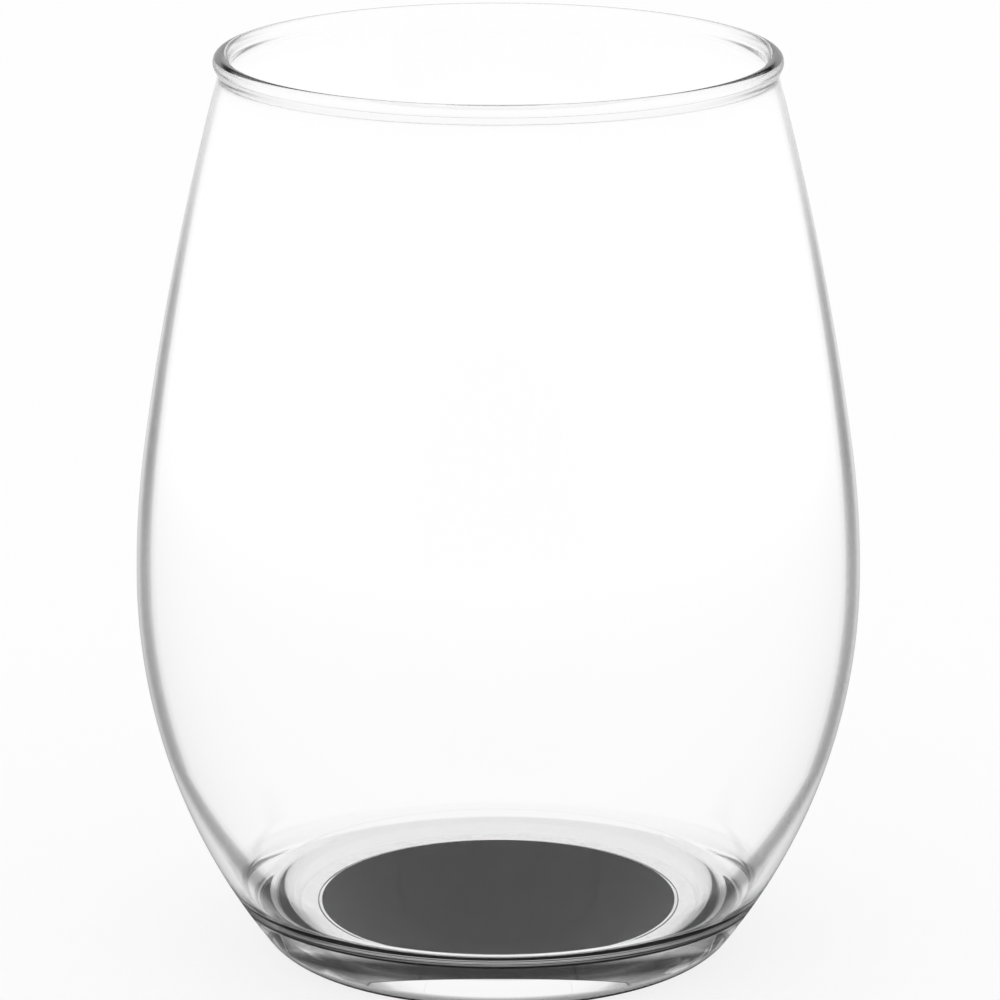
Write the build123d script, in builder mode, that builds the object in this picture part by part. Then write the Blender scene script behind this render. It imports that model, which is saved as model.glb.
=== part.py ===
from build123d import *
from math import atan2, degrees, sqrt
import os

os.makedirs("parts", exist_ok=True)

# All lengths in millimetres. The glass stands on z = 0 with its axis on z.

# Outside of the bowl
overall_height = 108.7
belly_diameter = 86.0
belly_height = 45.6
bowl_radius = 71.6
heel_radius = 5.5
shoulder_radius = 115.6
shoulder_turn = 8.24

# Drinking rim, a fire-polished bead that stands a little proud of the wall
rim_diameter = 66.5
rim_thickness = 1.9
bead_height = 3.2
bead_overhang = 0.4

# Even wall and thick flat base
belly_wall = 1.2
neck_wall = 1.2
floor_thickness = 6.35
floor_corner_radius = 5.0

# Underside, a very shallow push-up inside a flat bearing ring
bearing_width = 2.05
recess_depth = 0.25
recess_flank = 0.15
push_up = 0.5

# Colour coat in the recess
disc_thickness = 0.12
disc_margin = 0.35

# Outside, derived
belly_r = belly_diameter / 2
bowl_x = belly_r - bowl_radius
heel_reach = sqrt((bowl_radius - heel_radius) ** 2 - (belly_height - heel_radius) ** 2)
foot_r = bowl_x + heel_reach
heel_turn = 90 - degrees(atan2(belly_height - heel_radius, heel_reach))
rim_r = rim_diameter / 2
bead_z = overall_height - rim_thickness / 2
neck_r = rim_r - bead_overhang
neck_z = overall_height - bead_height

# Underside, derived
recess_r = foot_r - bearing_width
roof_r = recess_r - recess_flank
roof_z = recess_depth + push_up
roof_radius = (roof_r**2 + push_up**2) / (2 * push_up)
roof_centre_z = roof_z - roof_radius
disc_r = roof_r - disc_margin

# Inside, derived: the wall runs parallel to the outside, and the corner arc touches it and the flat floor
floor_z = roof_z + floor_thickness
inner_belly_r = belly_r - belly_wall
inner_bowl_radius = bowl_radius - belly_wall
inner_shoulder_radius = shoulder_radius - belly_wall
corner_z = floor_z + floor_corner_radius
corner_drop = belly_height - corner_z
corner_reach = sqrt((inner_bowl_radius - floor_corner_radius) ** 2 - corner_drop**2)
corner_x = bowl_x + corner_reach
wall_turn = degrees(atan2(corner_drop, corner_reach))

# Glass bowl: one revolved piece with its base, wall and rim
with BuildPart() as glass_bowl:
    with BuildSketch(Plane.XZ):
        with BuildLine():
            land = Line((recess_r, 0), (foot_r, 0))
            heel = JernArc(land @ 1, (1, 0), heel_radius, heel_turn)
            bowl = JernArc(heel @ 1, heel % 1, bowl_radius, 90 - heel_turn)
            shoulder = JernArc(bowl @ 1, (0, 1), shoulder_radius, shoulder_turn)
            upper = TangentArc(shoulder @ 1, (neck_r, neck_z), tangent=shoulder % 1)
            lip = Spline(upper @ 1, (rim_r, bead_z), tangents=(upper % 1, (0, 1)))
            bead = JernArc(lip @ 1, (0, 1), rim_thickness / 2, 180)

            floor = Line((0, floor_z), (corner_x, floor_z))
            corner = JernArc(floor @ 1, (1, 0), floor_corner_radius, 90 - wall_turn)
            inner_bowl = JernArc(corner @ 1, corner % 1, inner_bowl_radius, wall_turn)
            inner_shoulder = JernArc(inner_bowl @ 1, (0, 1), inner_shoulder_radius, shoulder_turn)
            inner_neck = (neck_r - neck_wall, neck_z)
            inner_upper = TangentArc(inner_shoulder @ 1, inner_neck, tangent=inner_shoulder % 1)
            Spline(inner_upper @ 1, bead @ 1, tangents=(inner_upper % 1, (0, 1)))

            Line((0, floor_z), (0, roof_z))
            roof = RadiusArc((0, roof_z), (roof_r, recess_depth), roof_radius)
            Line(roof @ 1, land @ 0)
        make_face()
    revolve(axis=Axis.Z)
glass_bowl.part.label = "glass_bowl"
export_step(glass_bowl.part, "parts/glass_bowl.step")

# Base disc: dark coat on the roof of the recess, clear of the table
disc_edge_z = roof_centre_z + sqrt(roof_radius**2 - disc_r**2)
with BuildPart() as base_disc:
    with BuildSketch(Plane.XZ):
        with BuildLine():
            top = RadiusArc((0, roof_z), (disc_r, disc_edge_z), roof_radius)
            edge = Line(top @ 1, (disc_r, disc_edge_z - disc_thickness))
            bottom = RadiusArc((0, roof_z - disc_thickness), edge @ 1, roof_radius)
            Line(bottom @ 0, top @ 0)
        make_face()
    revolve(axis=Axis.Z)
base_disc.part.label = "base_disc"
export_step(base_disc.part, "parts/base_disc.step")
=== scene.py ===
import math

import bmesh
import bpy
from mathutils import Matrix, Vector


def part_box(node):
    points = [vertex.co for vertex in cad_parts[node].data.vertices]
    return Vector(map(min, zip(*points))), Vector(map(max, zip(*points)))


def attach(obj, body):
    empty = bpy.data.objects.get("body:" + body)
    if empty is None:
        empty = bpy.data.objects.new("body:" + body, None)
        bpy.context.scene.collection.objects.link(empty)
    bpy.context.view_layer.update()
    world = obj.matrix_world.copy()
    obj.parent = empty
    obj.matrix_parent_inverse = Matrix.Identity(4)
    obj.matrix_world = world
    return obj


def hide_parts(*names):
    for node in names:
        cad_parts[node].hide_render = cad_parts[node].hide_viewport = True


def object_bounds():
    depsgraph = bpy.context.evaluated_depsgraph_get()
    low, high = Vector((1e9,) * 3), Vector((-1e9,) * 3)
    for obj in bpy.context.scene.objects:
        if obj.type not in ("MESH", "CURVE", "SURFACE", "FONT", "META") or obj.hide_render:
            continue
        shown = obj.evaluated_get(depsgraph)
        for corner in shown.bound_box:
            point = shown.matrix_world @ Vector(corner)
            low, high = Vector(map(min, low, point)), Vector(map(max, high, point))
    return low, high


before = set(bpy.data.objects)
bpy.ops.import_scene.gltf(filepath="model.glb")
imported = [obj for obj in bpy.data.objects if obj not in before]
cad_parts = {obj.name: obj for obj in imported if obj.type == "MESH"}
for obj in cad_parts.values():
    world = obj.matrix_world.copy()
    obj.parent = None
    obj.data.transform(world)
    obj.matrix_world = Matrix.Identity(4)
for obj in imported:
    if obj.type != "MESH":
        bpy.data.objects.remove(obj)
cad_low, cad_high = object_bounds()
scene = bpy.context.scene
MM = 0.001

# The glass's profile, in millimetres: the same values as in the CAD source
OVERALL_HEIGHT = 108.7
BELLY_R = 43.0
BELLY_Z = 45.6
BOWL_RADIUS = 71.6
HEEL_RADIUS = 5.5
SHOULDER_RADIUS = 115.6
SHOULDER_TURN = math.radians(8.24)
RIM_R = 33.25
RIM_THICKNESS = 1.9
BEAD_HEIGHT = 3.2
BEAD_OVERHANG = 0.4
BELLY_WALL = 1.2
NECK_WALL = 1.2
FLOOR_THICKNESS = 6.35
FLOOR_CORNER_RADIUS = 5.0
BEARING_WIDTH = 2.05
RECESS_DEPTH = 0.25
RECESS_FLANK = 0.15
PUSH_UP = 0.5
DISC_THICKNESS = 0.12
DISC_MARGIN = 0.35

# The coat wets the glass: its top reaches this far into the roof of the recess
COAT_BITE = 0.03
# The lip follows the wall this much longer than an even curve, as below the photo's bead
LIP_EASE = 1.8

# Steps of the meshes, and the turn from which a ring of edges is sharp
TURN_STEPS = 256
ROOF_STEPS = 40
FLANK_STEPS = 8
LAND_STEPS = 4
HEEL_STEPS = 24
BOWL_STEPS = 56
SHOULDER_STEPS = 14
UPPER_STEPS = 24
LIP_STEPS = 14
BEAD_STEPS = 24
FLOOR_STEPS = 30
CORNER_STEPS = 24
SHARP_TURN = math.radians(25.0)
ON_AXIS = 1e-6
QUARTER_TURN = math.pi / 2
UPWARD = (0.0, 1.0)


def straight(start, end, steps):
    """Points on a line, evenly spaced."""
    return [tuple(a + (b - a) * i / steps for a, b in zip(start, end)) for i in range(steps + 1)]


def arc(centre, radius, start, end, steps):
    """Points on a circle from one angle to another, in radians."""
    angles = [start + (end - start) * i / steps for i in range(steps + 1)]
    return [(centre[0] + radius * math.cos(a), centre[1] + radius * math.sin(a)) for a in angles]


def arc_on(start, direction, end, steps):
    """The arc that leaves start in a direction and ends at a point, and its direction there."""
    normal = (-direction[1], direction[0])
    chord = (end[0] - start[0], end[1] - start[1])
    radius = (chord[0] ** 2 + chord[1] ** 2) / (2 * (chord[0] * normal[0] + chord[1] * normal[1]))
    centre = (start[0] + normal[0] * radius, start[1] + normal[1] * radius)
    first = math.atan2(start[1] - centre[1], start[0] - centre[0])
    last = math.atan2(end[1] - centre[1], end[0] - centre[0])
    return arc(centre, radius, first, last, steps), (-math.sin(last), math.cos(last))


def sweep(start, start_way, end, end_way, steps):
    """A smooth curve between two points with the given ways at its ends."""
    reach = math.hypot(end[0] - start[0], end[1] - start[1])
    points = []
    for i in range(steps + 1):
        t = i / steps
        a, b = 2 * t**3 - 3 * t**2 + 1, -2 * t**3 + 3 * t**2
        c, d = t**3 - 2 * t**2 + t, t**3 - t**2
        points.append(
            tuple(
                a * start[k] + b * end[k] + reach * (c * start_way[k] + d * end_way[k])
                for k in (0, 1)
            )
        )
    return points


def chain(*runs):
    """Joins runs of points that share their ends."""
    points = list(runs[0])
    for run in runs[1:]:
        points += run[1:]
    return points


# Underside and outside, from the axis out and up to the rim
bowl_x = BELLY_R - BOWL_RADIUS
shoulder_x = BELLY_R - SHOULDER_RADIUS
heel_reach = math.sqrt((BOWL_RADIUS - HEEL_RADIUS) ** 2 - (BELLY_Z - HEEL_RADIUS) ** 2)
heel_dip = math.atan2(BELLY_Z - HEEL_RADIUS, heel_reach)
foot_r = bowl_x + heel_reach
recess_r = foot_r - BEARING_WIDTH
roof_r = recess_r - RECESS_FLANK
roof_z = RECESS_DEPTH + PUSH_UP
roof_radius = (roof_r**2 + PUSH_UP**2) / (2 * PUSH_UP)
roof_centre_z = roof_z - roof_radius
roof_edge = math.acos(roof_r / roof_radius)
neck_r = RIM_R - BEAD_OVERHANG
neck_z = OVERALL_HEIGHT - BEAD_HEIGHT
bead_z = OVERALL_HEIGHT - RIM_THICKNESS / 2
bead_x = RIM_R - RIM_THICKNESS / 2

roof = arc((0.0, roof_centre_z), roof_radius, QUARTER_TURN, roof_edge, ROOF_STEPS)
flank = straight((roof_r, RECESS_DEPTH), (recess_r, 0.0), FLANK_STEPS)
land = straight((recess_r, 0.0), (foot_r, 0.0), LAND_STEPS)
heel = arc((foot_r, HEEL_RADIUS), HEEL_RADIUS, -QUARTER_TURN, -heel_dip, HEEL_STEPS)
bowl = arc((bowl_x, BELLY_Z), BOWL_RADIUS, -heel_dip, 0.0, BOWL_STEPS)
shoulder = arc((shoulder_x, BELLY_Z), SHOULDER_RADIUS, 0.0, SHOULDER_TURN, SHOULDER_STEPS)
lean = (-math.sin(SHOULDER_TURN), math.cos(SHOULDER_TURN))
upper, neck_way = arc_on(shoulder[-1], lean, (neck_r, neck_z), UPPER_STEPS)
lip_way = (LIP_EASE * neck_way[0], LIP_EASE * neck_way[1])
lip = sweep(upper[-1], lip_way, (RIM_R, bead_z), UPWARD, LIP_STEPS)
bead = arc((bead_x, bead_z), RIM_THICKNESS / 2, 0.0, math.pi, BEAD_STEPS)
outside = chain(roof, flank, land, heel, bowl, shoulder, upper, lip, bead)

# Inside, from the axis out and up to the rim
floor_z = roof_z + FLOOR_THICKNESS
inner_bowl_radius = BOWL_RADIUS - BELLY_WALL
inner_shoulder_radius = SHOULDER_RADIUS - BELLY_WALL
corner_z = floor_z + FLOOR_CORNER_RADIUS
corner_drop = BELLY_Z - corner_z
corner_reach = math.sqrt((inner_bowl_radius - FLOOR_CORNER_RADIUS) ** 2 - corner_drop**2)
corner_x = bowl_x + corner_reach
wall_dip = math.atan2(corner_drop, corner_reach)

floor_run = straight((0.0, floor_z), (corner_x, floor_z), FLOOR_STEPS)
corner = arc((corner_x, corner_z), FLOOR_CORNER_RADIUS, -QUARTER_TURN, -wall_dip, CORNER_STEPS)
inner_bowl = arc((bowl_x, BELLY_Z), inner_bowl_radius, -wall_dip, 0.0, BOWL_STEPS)
inner_shoulder = arc((shoulder_x, BELLY_Z), inner_shoulder_radius, 0.0, SHOULDER_TURN, SHOULDER_STEPS)
inner_neck = (neck_r - NECK_WALL, neck_z)
inner_upper, inner_neck_way = arc_on(inner_shoulder[-1], lean, inner_neck, UPPER_STEPS)
inner_lip = sweep(inner_upper[-1], inner_neck_way, bead[-1], UPWARD, LIP_STEPS)
inside = chain(floor_run, corner, inner_bowl, inner_shoulder, inner_upper, inner_lip)

# The coat under the base, on the roof of the recess
disc_r = roof_r - DISC_MARGIN
disc_edge = math.acos(disc_r / roof_radius)
coat_top = arc((0.0, roof_centre_z + COAT_BITE), roof_radius, QUARTER_TURN, disc_edge, ROOF_STEPS)
coat_under = arc((0.0, roof_centre_z - DISC_THICKNESS), roof_radius, QUARTER_TURN, disc_edge, ROOF_STEPS)


def lathe(name, points, node):
    """A closed mesh turned about z, no wider than its CAD node, from a profile with its ends on the axis."""
    low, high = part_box(node)
    half_width = min(-low.x, high.x, -low.y, high.y)
    fit = min(1.0, half_width / (MM * max(r for r, _ in points)))
    rise = min(1.0, cad_high.z / (MM * max(z for _, z in points)))
    mesh = bpy.data.meshes.new(name)
    bm = bmesh.new()
    rings = []
    for r, z in points:
        level = z * rise * MM
        if r < ON_AXIS:
            rings.append([bm.verts.new((0.0, 0.0, level))])
            continue
        radius = r * fit * MM
        ring = []
        for i in range(TURN_STEPS):
            a = 2 * math.pi * i / TURN_STEPS
            ring.append(bm.verts.new((radius * math.cos(a), radius * math.sin(a), level)))
        rings.append(ring)
    for first, second in zip(rings, rings[1:]):
        for i in range(TURN_STEPS):
            j = (i + 1) % TURN_STEPS
            if len(first) == 1:
                bm.faces.new((first[0], second[j], second[i]))
            elif len(second) == 1:
                bm.faces.new((first[i], first[j], second[0]))
            else:
                bm.faces.new((first[i], first[j], second[j], second[i]))
    for k in range(1, len(points) - 1):
        before = math.atan2(points[k][1] - points[k - 1][1], points[k][0] - points[k - 1][0])
        after = math.atan2(points[k + 1][1] - points[k][1], points[k + 1][0] - points[k][0])
        turn = abs((after - before + math.pi) % (2 * math.pi) - math.pi)
        if turn > SHARP_TURN and len(rings[k]) > 1:
            for i in range(TURN_STEPS):
                bm.edges.get((rings[k][i], rings[k][(i + 1) % TURN_STEPS])).smooth = False
    bmesh.ops.recalc_face_normals(bm, faces=bm.faces)
    for face in bm.faces:
        face.smooth = True
    bm.to_mesh(mesh)
    bm.free()
    piece = bpy.data.objects.new(name, mesh)
    scene.collection.objects.link(piece)
    return piece


# Node helpers: a value is a number, or another node's output to link


def grey(tone):
    """An opaque grey."""
    return (tone, tone, tone, 1.0)


def feed(tree, value, socket):
    """Sets an input to a number, or links it to another node's output."""
    if isinstance(value, bpy.types.NodeSocket):
        tree.links.new(value, socket)
    else:
        socket.default_value = value


def calc(tree, operation, *values):
    """The result of a Math node."""
    node = tree.nodes.new("ShaderNodeMath")
    node.operation = operation
    for value, socket in zip(values, node.inputs):
        feed(tree, value, socket)
    return node.outputs["Value"]


def map_range(tree, value, low, high, first=0.0, last=1.0):
    """A value's place between low and high, put between first and last."""
    node = tree.nodes.new("ShaderNodeMapRange")
    for name, number in (("From Min", low), ("From Max", high), ("To Min", first), ("To Max", last)):
        node.inputs[name].default_value = number
    feed(tree, value, node.inputs["Value"])
    return node.outputs["Result"]


def ramp(tree, value, stops):
    """A grey that follows a value, from (position, grey) pairs."""
    node = tree.nodes.new("ShaderNodeValToRGB")
    elements = node.color_ramp.elements
    while len(elements) < len(stops):
        elements.new(0.5)
    for element, (position, tone) in zip(elements, stops):
        element.position = position
        element.color = grey(tone)
    feed(tree, value, node.inputs["Fac"])
    return node.outputs["Color"]


def split(tree, vector):
    """The node that gives a vector's parts."""
    node = tree.nodes.new("ShaderNodeSeparateXYZ")
    tree.links.new(vector, node.inputs["Vector"])
    return node


def noise(tree, vector, scale, detail):
    """A noise over a vector."""
    node = tree.nodes.new("ShaderNodeTexNoise")
    node.inputs["Scale"].default_value = scale
    node.inputs["Detail"].default_value = detail
    tree.links.new(vector, node.inputs["Vector"])
    return node.outputs["Fac"]


def mix_greys(tree, share, first, second):
    """A colour between two colours."""
    node = tree.nodes.new("ShaderNodeMix")
    node.data_type = "RGBA"
    feed(tree, share, node.inputs["Factor"])
    feed(tree, first, node.inputs["A"])
    feed(tree, second, node.inputs["B"])
    return node.outputs["Result"]


def diffuse(tree, colour):
    """A matt shader."""
    node = tree.nodes.new("ShaderNodeBsdfDiffuse")
    feed(tree, colour, node.inputs["Color"])
    return node.outputs["BSDF"]


def show_mix(tree, share, first, second):
    """Puts a mix of two shaders on the material's surface."""
    node = tree.nodes.new("ShaderNodeMixShader")
    tree.links.new(share, node.inputs["Fac"])
    tree.links.new(first, node.inputs[1])
    tree.links.new(second, node.inputs[2])
    tree.links.new(node.outputs["Shader"], tree.nodes["Material Output"].inputs["Surface"])


def material(name):
    """A new node material, its tree, its main shader and the place on the object."""
    made = bpy.data.materials.new(name)
    made.use_nodes = True
    tree = made.node_tree
    place = tree.nodes.new("ShaderNodeTexCoord").outputs["Object"]
    return made, tree, tree.nodes["Principled BSDF"], place


# Clear glass: colourless face on, with shares of a painted dark shade where it is seen edge on, around its
# heel and along its rim.
# Stops by facing go from 0, seen face on, to 1, seen edge on. Heights are in millimetres.
GLASS_IOR = 1.5
SHADE_TONE = 0.02
EVEN_BLEND = 0.5
# Painted shade along the edges, where the glass is seen edge on
EDGE_BY_FACING = [
    (0.0, 0.0), (0.73, 0.0), (0.77, 0.12), (0.79, 0.41), (0.815, 0.57),
    (0.85, 0.65), (0.885, 0.59), (0.91, 0.41), (0.945, 0.14), (0.98, 0.0),
]
EDGE_BY_HEIGHT = [(50.0, 0.85), (62.0, 1.0), (82.0, 0.9), (96.0, 0.5), (105.5, 0.3)]
WIDENING = 0.25
WIDENING_INSIDE = 0.2
WIDENING_BY_HEIGHT = [(12.0, 1.0), (26.0, 0.2), (60.0, 0.2), (96.0, 0.0)]
# Painted shade: a ring round the heel and a line along the foot
HEEL_SHADE_BY_HEIGHT = [
    (0.0, 0.65), (2.0, 0.65), (2.5, 0.0), (5.2, 0.0), (5.7, 0.5), (7.7, 0.5), (8.2, 0.0),
]
HEEL_SHADE_BY_FACING = [(0.2, 0.0), (0.32, 1.0)]
# Painted shade in blotches at the heel's sides, in place of dark reflections in the thick base
SIDE_SHADE_STRETCH = (1.0, 1.0, 3.0)
SIDE_SHADE_SCALE = 130.0
SIDE_SHADE_DETAIL = 3.0
SIDE_SHADE_BY_NOISE = [(0.44, 0.15), (0.5, 1.0)]
SIDE_SHADE_BY_FACING = [(0.5, 0.0), (0.58, 1.0), (0.78, 1.0), (0.86, 0.0)]
SIDE_SHADE_BY_HEIGHT = [(1.6, 0.0), (2.2, 0.6), (9.0, 0.6), (12.0, 0.0)]
# Painted shade: a thin dark line along the bead's contours
RIM_SHADE_BY_FACING = [(0.45, 0.0), (0.75, 0.15), (1.0, 0.37)]
RIM_SHADE_BY_HEIGHT = [(106.6, 0.0), (107.2, 1.0)]
RIM_HAZE = 0.09
RIM_HAZE_START = 103.5
RIM_HAZE_FULL = 105.5


def glass_material():
    """Clear glass with painted shade along its edges, around its heel and along its rim."""
    made, tree, shader, place = material("bowl_glass")
    shader.inputs["Base Color"].default_value = grey(1.0)
    shader.inputs["Transmission Weight"].default_value = 1.0
    shader.inputs["IOR"].default_value = GLASS_IOR
    z = split(tree, place).outputs["Z"]
    level = map_range(tree, z, 0.0, OVERALL_HEIGHT * MM)
    layer = tree.nodes.new("ShaderNodeLayerWeight")
    layer.inputs["Blend"].default_value = EVEN_BLEND
    facing = layer.outputs["Facing"]
    inward = tree.nodes.new("ShaderNodeNewGeometry").outputs["Backfacing"]
    outward = calc(tree, "SUBTRACT", 1.0, inward)

    def by_height(stops):
        return ramp(tree, level, [(height / OVERALL_HEIGHT, share) for height, share in stops])

    # The shade along the edges is widest at the foot, seen from outside, and fades towards the rim
    wider_outside = calc(tree, "MULTIPLY", by_height(WIDENING_BY_HEIGHT), outward)
    wider = calc(tree, "MULTIPLY_ADD", inward, WIDENING_INSIDE, wider_outside)
    edge_on = calc(tree, "MULTIPLY_ADD", wider, WIDENING, facing)
    edge = calc(tree, "MULTIPLY", ramp(tree, edge_on, EDGE_BY_FACING), by_height(EDGE_BY_HEIGHT))

    # Painted shade in a ring round the heel and a line along the foot, which a view face on doesn't show
    heel_slant = ramp(tree, facing, HEEL_SHADE_BY_FACING)
    heel_shade = calc(tree, "MULTIPLY", by_height(HEEL_SHADE_BY_HEIGHT), heel_slant)

    # Blotchy painted shade at the heel's sides, in place of dark reflections in the thick base
    stretched = tree.nodes.new("ShaderNodeMapping")
    stretched.inputs["Scale"].default_value = SIDE_SHADE_STRETCH
    tree.links.new(place, stretched.inputs["Vector"])
    side_shade_noise = noise(tree, stretched.outputs["Vector"], SIDE_SHADE_SCALE, SIDE_SHADE_DETAIL)
    side_shade_facing = ramp(tree, facing, SIDE_SHADE_BY_FACING)
    side_shade = calc(tree, "MULTIPLY", ramp(tree, side_shade_noise, SIDE_SHADE_BY_NOISE), side_shade_facing)
    side_shade = calc(tree, "MULTIPLY", side_shade, by_height(SIDE_SHADE_BY_HEIGHT))

    # A thin painted dark line along the contours of the bead
    rim_side = ramp(tree, facing, RIM_SHADE_BY_FACING)
    rim_shade = calc(tree, "MULTIPLY", rim_side, by_height(RIM_SHADE_BY_HEIGHT))

    # The painted shade at the heel, its sides and the rim shows on hits from outside, and all of the painted
    # shade on the outer faces only
    outside_shade = calc(tree, "MAXIMUM", calc(tree, "MAXIMUM", heel_shade, side_shade), rim_shade)
    outside_shade = calc(tree, "MULTIPLY", outside_shade, outward)
    outer = tree.nodes.new("ShaderNodeAttribute")
    outer.attribute_name = "outer"
    shade_share = calc(tree, "MULTIPLY", calc(tree, "MAXIMUM", edge, outside_shade), outer.outputs["Fac"])
    haze = map_range(tree, z, RIM_HAZE_START * MM, RIM_HAZE_FULL * MM, 0.0, RIM_HAZE)
    tree.links.new(haze, shader.inputs["Roughness"])
    show_mix(tree, shade_share, shader.outputs["BSDF"], diffuse(tree, grey(SHADE_TONE)))
    return made


# Dark coat: nearly black grey with a faint mottle
MOTTLE_SCALE = 240.0
MOTTLE_DETAIL = 5.0
COAT_TONE = [(0.3, 0.008), (0.7, 0.012)]
COAT_ROUGHNESS = (0.5, 0.7)


def coat_material():
    """The dark, dull coat of the disc."""
    made, tree, shader, place = material("disc_coat")
    mottle = noise(tree, place, MOTTLE_SCALE, MOTTLE_DETAIL)
    shader.inputs["Specular IOR Level"].default_value = 0.0
    tree.links.new(ramp(tree, mottle, COAT_TONE), shader.inputs["Base Color"])
    tree.links.new(map_range(tree, mottle, 0.0, 1.0, *COAT_ROUGHNESS), shader.inputs["Roughness"])
    return made


# Pale floor: its glow makes it white for the camera and through glass. Mirrored near the glass it is darker.
FLOOR_HALF = 4.0
FLOOR_TONE = 0.25
FLOOR_TONE_TO_CAMERA = 0.95
GLOW_TO_CAMERA = 0.8
GLOW_THROUGH_GLASS = 0.98
GLOW_MIRRORED = (0.05, 0.98)
GLOW_MIRRORED_FROM = 0.06
GLOW_MIRRORED_TO = 0.5


def floor_material():
    """A pale floor that keeps the glass's shadow."""
    made, tree, shader, place = material("floor_white")
    tree.nodes.remove(shader)
    ray = tree.nodes.new("ShaderNodeLightPath")
    to_camera = ray.outputs["Is Camera Ray"]
    tone = mix_greys(tree, to_camera, grey(FLOOR_TONE), grey(FLOOR_TONE_TO_CAMERA))
    glow = tree.nodes.new("ShaderNodeEmission")
    far = tree.nodes.new("ShaderNodeVectorMath")
    far.operation = "LENGTH"
    tree.links.new(place, far.inputs[0])
    mirrored = map_range(tree, far.outputs["Value"], GLOW_MIRRORED_FROM, GLOW_MIRRORED_TO, *GLOW_MIRRORED)
    share = calc(tree, "MULTIPLY", to_camera, GLOW_TO_CAMERA)
    share = calc(tree, "MULTIPLY_ADD", ray.outputs["Is Transmission Ray"], GLOW_THROUGH_GLASS, share)
    share = calc(tree, "MULTIPLY_ADD", ray.outputs["Is Glossy Ray"], mirrored, share)
    show_mix(tree, share, diffuse(tree, tone), glow.outputs["Emission"])
    return made


# Pieces
glass = lathe("glass_bowl_clear", outside + inside[-2::-1], "glass_bowl")
glass.data.materials.append(glass_material())
outer_mark = glass.data.attributes.new("outer", "FLOAT", "POINT")
outer_points = 1 + (len(outside) - 1) * TURN_STEPS
for i in range(len(glass.data.vertices)):
    outer_mark.data[i].value = 1.0 if i < outer_points else 0.0
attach(glass, "root")
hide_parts("glass_bowl")

disc = lathe("base_disc_coat", coat_top + coat_under[::-1], "base_disc")
disc.data.materials.append(coat_material())
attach(disc, "root")
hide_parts("base_disc")

# Floor
floor_mesh = bpy.data.meshes.new("floor")
floor_corners = [(-1, -1), (1, -1), (1, 1), (-1, 1)]
floor_mesh.from_pydata([(x * FLOOR_HALF, y * FLOOR_HALF, 0.0) for x, y in floor_corners], [], [(0, 1, 2, 3)])
floor = bpy.data.objects.new("floor", floor_mesh)
scene.collection.objects.link(floor)
floor_mesh.materials.append(floor_material())

# World: white all round for the camera and for light. Glass and gloss see a dark band behind the object.
# Stops by elevation are in degrees. The band fades in over this range of a direction's part along +Y.
STUDIO_BY_ELEVATION = [
    (0.0, 1.0), (13.0, 1.0), (17.0, 0.03), (20.5, 0.03), (23.5, 1.0), (49.5, 1.0), (90.0, 0.7),
]
STRAIGHT_UP = 90.0
BEHIND = (0.3, 0.7)

world = bpy.data.worlds.new("studio")
scene.world = world
world.use_nodes = True
sky = world.node_tree
way = split(sky, sky.nodes.new("ShaderNodeTexCoord").outputs["Generated"])
elevation = map_range(sky, calc(sky, "ARCSINE", way.outputs["Z"]), 0.0, QUARTER_TURN)
studio = ramp(sky, elevation, [(degrees / STRAIGHT_UP, tone) for degrees, tone in STUDIO_BY_ELEVATION])
banded = mix_greys(sky, map_range(sky, way.outputs["Y"], *BEHIND), grey(1.0), studio)
sky_ray = sky.nodes.new("ShaderNodeLightPath")
plain = calc(sky, "MAXIMUM", sky_ray.outputs["Is Camera Ray"], sky_ray.outputs["Is Diffuse Ray"])
sky.links.new(mix_greys(sky, plain, banded, grey(1.0)), sky.nodes["Background"].inputs["Color"])

# Camera
DISTANCE = 0.7
ELEVATION = math.radians(14.9115)
TARGET = Vector((0.0002, 0.0, 0.05471))
FOCAL_PIXELS = 5897.0
PICTURE_PIXELS = 1000.0
SENSOR_WIDTH = 36.0
camera_data = bpy.data.cameras.new("camera")
camera_data.sensor_width = SENSOR_WIDTH
camera_data.lens = FOCAL_PIXELS * SENSOR_WIDTH / PICTURE_PIXELS
camera = bpy.data.objects.new("camera", camera_data)
scene.collection.objects.link(camera)
back = Vector((0.0, -math.cos(ELEVATION), math.sin(ELEVATION)))
camera.location = TARGET + back * DISTANCE
camera.rotation_euler = (QUARTER_TURN - ELEVATION, 0.0, 0.0)
scene.camera = camera

# Enough bounces for light that runs inside the thick base
BOUNCES = 32
scene.view_settings.view_transform = "Standard"
scene.cycles.max_bounces = BOUNCES
scene.cycles.transmission_bounces = BOUNCES
scene.cycles.glossy_bounces = BOUNCES
